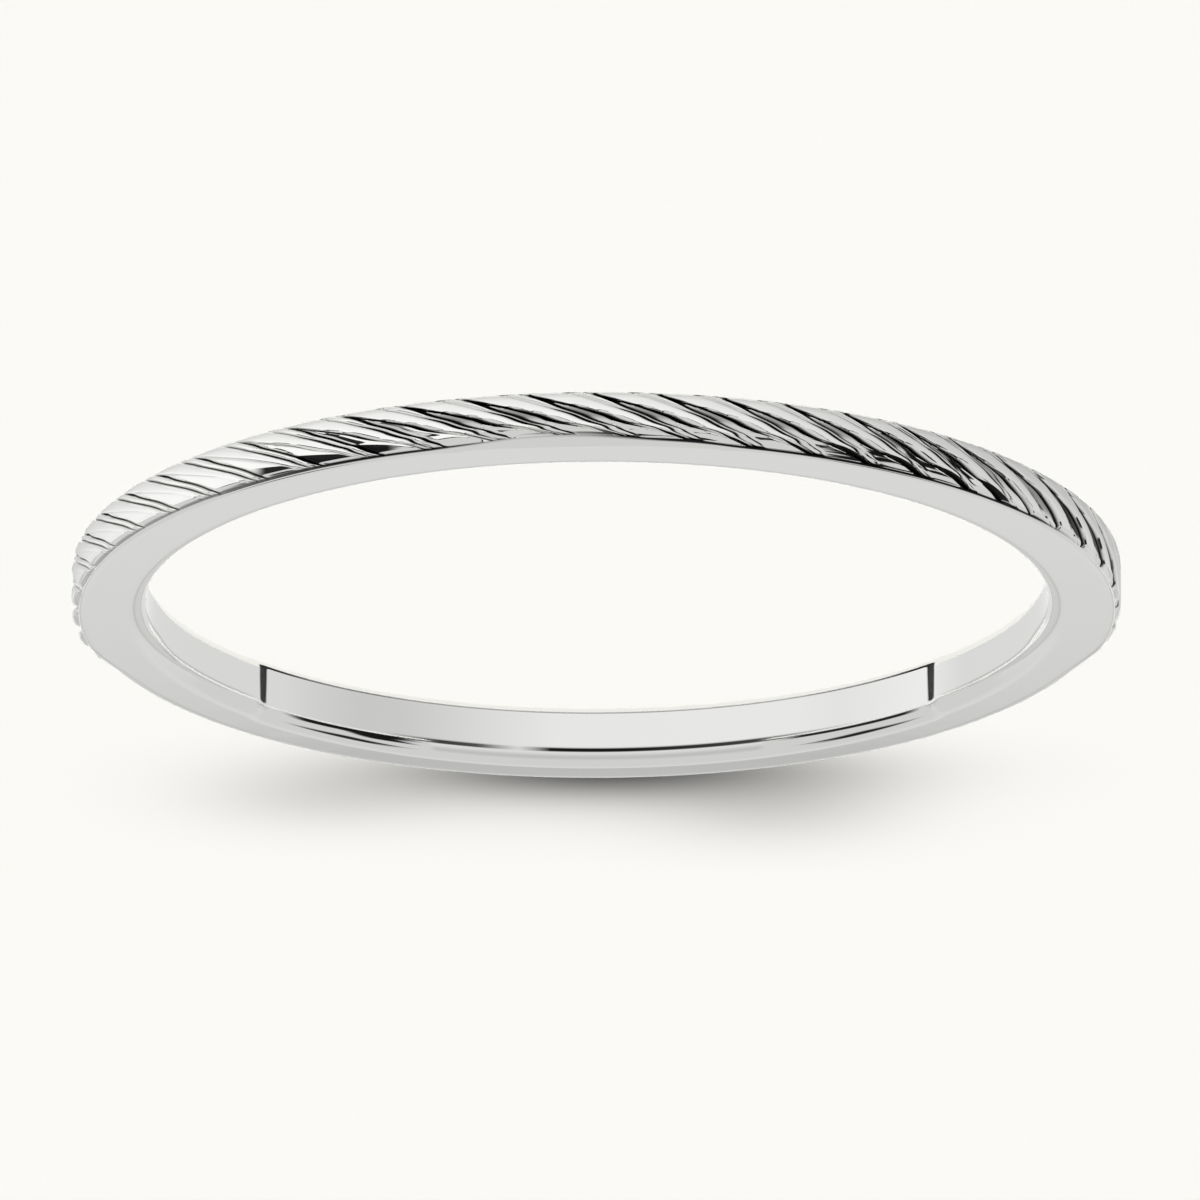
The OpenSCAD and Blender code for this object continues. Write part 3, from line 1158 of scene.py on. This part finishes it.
@dataclass
class Studio:
    """Pale floor, cards that the metal mirrors, and soft light."""

    floor_z: float
    floor_half: float = 400.0
    floor_colour: str = "#fbfaf6"
    floor_roughness: float = 0.9
    room: float = 0.70
    # Brightness of the card before the ring: by distance from the axis, darker close to the ring as
    # a painted contact shadow, then by turn
    bounce_reach: Table = (
        (10.05, 0.66), (10.4, 0.76), (10.8, 0.88), (11.4, 0.98), (12.5, 1.02), (20, 1), (80, 1),
    )
    bounce_turn: Table = (
        (-125, 0.72), (-90, 0.78), (-60, 0.74), (-40, 0.76), (-25, 0.86), (-10, 0.98), (10, 1.03),
        (30, 1.08), (60, 1.08), (80, 1), (100, 0.86), (125, 0.74),
    )
    # Turn over which that card thins out at its two ends
    bounce_fade: float = 14.0
    bounce_lift: float = 0.01
    # Its columns and rows, and the width of its first row
    bounce_steps: tuple[int, int] = (161, 60)
    bounce_first_step: float = 0.01
    # The two lamps: the main one's share of the floor's light, then the tilt towards the camera's
    # side and the spread of each, in degrees
    main_share: float = 0.96
    main_light: Pair = (0.0, 8.0)
    soft_key: Pair = (35.0, 60.0)
    # The net that holds the main light back: its height over the floor, half its size along X
    # and Y, the place of its middle behind the ring, its columns and rows, and its soft edge
    net_height: float = 0.05
    net_half: Pair = (13.0, 6.0)
    net_place: float = 14.5
    net_steps: tuple[int, int] = (131, 121)
    net_edge: float = 2.0
    # The net's soft patches: middle, half widths and strength
    net_patches: Rows = (
        (-0.2, 12.75, 4.7, 1.9, 0.95),
        (-3.6, 15.0, 2.5, 2.4, 0.27),
        (5.5, 14.5, 2.6, 2.0, 0.22),
        (-0.5, 14.6, 5.0, 2.6, 0.10),
    )
    back_distance: float = 60.0
    back_half: float = 72.0
    back_steps: tuple[int, int] = (9, 120)
    # Brightness of the back card at rising heights, in millimetres
    back_shades: Table = (
        (0, 0.66), (14, 0.66), (17.5, 0.6), (18.5, 0.52), (18.75, 0.54), (18.86, 0.59),
        (19.2, 0.65), (20.4, 0.7), (22, 0.727), (25.3, 0.757), (45, 0.72),
    )
    cards: tuple[Card, ...] = (
        Card("horizon strip", (-52, 52), (-2, 8), 0.02),
        Card("dark panel towards -X", (-88, -44), (-3, 24), 0.01, (8.0, 6.0)),
        Card("tall panel towards -X", (-72, -50), (8, 42), 0.01, (6.0, 5.0)),
        Card("dark panel towards +X", (46, 92), (-3, 20), 0.02, (8.0, 5.0)),
        Card("high flag towards -X", (-124, -80), (46, 67), 0.02, (12.0, 6.0)),
        Card("high flag towards +X", (84, 130), (45, 65), 0.02, (12.0, 6.0)),
    )
    # The inner card stands inside the ring, before its far wall: radius, height in the middle and
    # at the sides, and the soft width of its top edge at the sides and in the middle
    inner_r: float = 8.5
    inner_top: float = 1.8
    inner_side_top: float = 0.31
    inner_soft: Pair = (0.04, 0.24)
    # Its columns, rows below and rows above, and the heights where those rows end and start
    inner_steps: tuple[int, int, int] = (260, 60, 40)
    inner_split: Pair = (0.6, 0.62)
    # How much closer to the wall it comes, and the turns from its middle where it does
    inner_closer: float = 0.135
    closer_turns: Pair = (66.0, 78.0)
    # Turns from its middle between which the streaks end
    streak_turns: Pair = (18.0, 22.0)
    # What the far wall mirrors, at turns from the middle of the rope
    wall_shades: Table = (
        (78, 0.9), (92, 0.89), (101, 0.76), (125, 0.76), (137, 0.77), (143, 0.7), (149, 0.65),
        (155, 0.66), (161, 0.73), (167, 0.81), (175, 0.9), (205, 0.91), (212, 0.87), (225, 0.95),
        (234, 0.78), (259, 0.78), (266, 0.84), (282, 0.9),
    )
    # Darkness of the thin line along the top of the far wall, at the same turns
    line_shades: Table = (
        (92, 0.25), (118, 0.3), (128, 0.25), (132, 0), (152, 0), (157, 0.7), (160, 0.95),
        (165, 0.9), (168, 0.4), (170, 0.1), (172, 0.5), (174, 1), (184, 1), (200, 0.95),
        (206, 0.6), (212, 0.2), (216, 0), (228, 0), (236, 0.3), (266, 0.25),
    )
    # Brightness of that line, and the heights between which it and the streaks begin
    line_dark: float = 0.01
    line_rise: Pair = (0.20, 0.25)
    streak_rise: Pair = (0.37, 0.43)
    # Soft streaks over that line, at rising places along Z
    streak_shades: Table = (
        (0.4, 0.8), (0.48, 0.8), (0.57, 0.72), (0.69, 0.62), (0.87, 0.57), (1.19, 0.62),
        (1.6, 0.7),
    )

    def floor(self) -> bpy.types.Object:
        """Makes the floor, a plain square just under the ring.

        Returns:
            The floor.
        """
        # Matt white card: it scatters light evenly and has no shine, so no lamp shows on it
        material, tree = new_material("matt white card")
        colour = {"Base Color": linear(self.floor_colour)}
        matt = {"Roughness": self.floor_roughness, "Specular IOR Level": 0.0}
        shader = add_node(tree, "ShaderNodeBsdfPrincipled", colour | matt)
        add_node(tree, "ShaderNodeOutputMaterial", links={"Surface": shader.outputs["BSDF"]})
        ends = [-self.floor_half, self.floor_half]
        x, y = np.meshgrid(ends, ends, indexing="ij")
        corners = np.stack([x, y, np.full_like(x, self.floor_z)], -1)
        return sheet_object("floor", corners * MM, material)

    def back_card(self) -> bpy.types.Object:
        """Makes the upright card behind the ring, graded along its height.

        Returns:
            The card.
        """
        sides = np.linspace(-self.back_half, self.back_half, self.back_steps[0])
        heights = np.linspace(self.back_shades[0][0], self.back_shades[-1][0], self.back_steps[1])
        x, z = np.meshgrid(sides, heights, indexing="ij")
        points = np.stack([x, np.full_like(x, self.back_distance), z + self.floor_z], -1)
        shade = straight_table(z, self.back_shades)
        return mirror_card("back card", points, np.ones_like(x), shade)

    def bounce_card(self) -> bpy.types.Object:
        """Makes the bright card that lies in front of the ring, and that only the rope mirrors.

        It is a ring segment: its shade is the product of one table by distance from the axis,
        darker close to the ring as a painted contact shadow, and one by turn. It thins out at both
        ends.

        Returns:
            The card.
        """
        near, far = self.bounce_reach[0][0], self.bounce_reach[-1][0]
        ends = self.bounce_turn[-1][0]
        steps = np.geomspace(self.bounce_first_step, far - near, self.bounce_steps[1])
        reaches = near + np.concatenate([[0.0], steps])
        turns = np.linspace(self.bounce_turn[0][0], ends, self.bounce_steps[0])
        turn, reach = np.meshgrid(turns, reaches, indexing="ij")
        shade = straight_table(reach, self.bounce_reach) * straight_table(turn, self.bounce_turn)
        low = np.full_like(turn, self.floor_z + self.bounce_lift)
        cover = smooth_step((ends - np.abs(turn)) / self.bounce_fade)
        return mirror_card("bounce card", around_axis(reach, turn, low), cover, shade)

    def inner_card(self) -> bpy.types.Object:
        """Makes the card inside the ring that its far wall and the round above it mirror.

        It is graded: the wall's own shade up to the top of the wall, then a thin dark line, and
        soft streaks over that, in the middle only. Towards both ends it comes closer to the wall,
        which the camera sees there at a low angle.

        Returns:
            The card.
        """
        turns = np.linspace(self.wall_shades[0][0], self.wall_shades[-1][0], self.inner_steps[0])
        low, split = self.floor_z + self.bounce_lift, self.inner_split
        below = np.linspace(low, split[0], self.inner_steps[1])
        above = np.linspace(split[1], self.inner_top, self.inner_steps[2])
        turn, z = np.meshgrid(turns, np.concatenate([below, above]), indexing="ij")
        from_middle = np.abs(turn - 180.0)
        wall = straight_table(turn, self.wall_shades)
        line = straight_table(turn, self.line_shades) * ramp(z, *self.line_rise)
        shade = mix(wall, self.line_dark, line)
        shade = mix(shade, straight_table(z, self.streak_shades), ramp(z, *self.streak_rise))
        tall = 1.0 - ramp(from_middle, *self.streak_turns)
        top = mix(self.inner_side_top, self.inner_top, tall)
        cover = smooth_step((top - z) / mix(*self.inner_soft, tall))
        r = self.inner_r + self.inner_closer * ramp(from_middle, *self.closer_turns)
        return mirror_card("inner card", around_axis(r, turn, z), cover, shade)

    def sky(self) -> None:
        """Lights the scene from a pale grey room."""
        world = bpy.data.worlds.new("pale room")
        bpy.context.scene.world = world
        world.use_nodes = True
        tree = world.node_tree
        tree.nodes.clear()
        inputs = {"Color": (1, 1, 1, 1), "Strength": self.room}
        pale = add_node(tree, "ShaderNodeBackground", inputs=inputs).outputs["Background"]
        add_node(tree, "ShaderNodeOutputWorld", links={"Surface": pale})
        world.cycles_visibility.diffuse = False

    def lamp(self, name: str, share: float, tilt: float, spread: float) -> bpy.types.Object:
        """Adds a soft overhead light for the floor, which the metal doesn't mirror.

        Args:
            name: The lamp's name.
            share: Its share of a white floor's light.
            tilt: How far it leans towards the camera's side, in degrees.
            spread: How wide it is, in degrees.

        Returns:
            The lamp.
        """
        light = bpy.data.lights.new(name, "SUN")
        light.energy = share * math.pi / math.cos(math.radians(tilt))
        light.angle = math.radians(spread)
        light.specular_factor = 0.0
        lamp = bpy.data.objects.new(name, light)
        lamp.rotation_euler = (math.radians(-tilt), 0.0, 0.0)
        lamp.visible_glossy = False
        bpy.context.scene.collection.objects.link(lamp)
        return lamp

    def net(self) -> bpy.types.Object:
        """Makes the net: a graded scrim that holds the main light off the floor behind.

        Nothing sees it. It only casts the soft shadow. Each patch takes away its strength times e
        to the power of less the square of the distance from its middle, in half widths, and the
        patches' shares of light that are left are multiplied.

        Returns:
            The net.
        """
        half, middle = self.net_half, self.net_place
        x, y = np.meshgrid(
            np.linspace(-half[0], half[0], self.net_steps[0]),
            np.linspace(middle - half[1], middle + half[1], self.net_steps[1]),
            indexing="ij",
        )
        light = np.ones_like(x)
        for at_x, at_y, wide, deep, strength in self.net_patches:
            away = np.hypot((x - at_x) / wide, (y - at_y) / deep)
            light = light * (1.0 - strength * np.exp(-(away**2)))
        edge = np.minimum(half[0] - np.abs(x), half[1] - np.abs(y - middle))
        cover = (1.0 - light) * smooth_step(edge / self.net_edge)
        points = np.stack([x, y, np.full_like(x, self.floor_z + self.net_height)], -1)
        net = mirror_card("net", points, cover, 0.0)
        net.visible_glossy = False
        net.visible_shadow = True
        return net

    def lamps(self) -> None:
        """Lights the floor: a main light that only the net holds back, and a soft key."""
        main = self.lamp("main light", self.main_share, *self.main_light)
        blockers = bpy.data.collections.new("main light blockers")
        blockers.objects.link(self.net())
        main.light_linking.blocker_collection = blockers
        self.lamp("soft key", 1.0 - self.main_share, *self.soft_key)

    def build(self) -> None:
        """Builds everything round the ring."""
        self.floor()
        graded = [self.back_card(), self.bounce_card(), self.inner_card()]
        dark = [card.build() for card in self.cards]
        self.sky()
        self.lamps()
        names = ", ".join(card.name for card in graded + dark)
        LOG.info("studio: floor, two lamps, a net, and the cards: %s", names)


def main() -> None:
    """Builds the ring and its studio, and reports each piece."""
    logging.basicConfig(level=logging.INFO, format="%(message)s")
    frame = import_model()
    low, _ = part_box("band")

    sizes = BandSizes()
    twist = RopeTwist(sizes)
    ring = RingBand(sizes, twist).build(PolishedWhiteGold().material())
    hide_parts("band")
    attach(ring, "root")

    Studio(floor_z=low[2] / MM).build()
    PhotoCamera().build()
    bpy.context.scene.view_settings.view_transform = "Standard"

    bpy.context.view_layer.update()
    LOG.info("built around %d CAD nodes", len(frame["nodes"]))


if __name__ == "__main__":
    main()
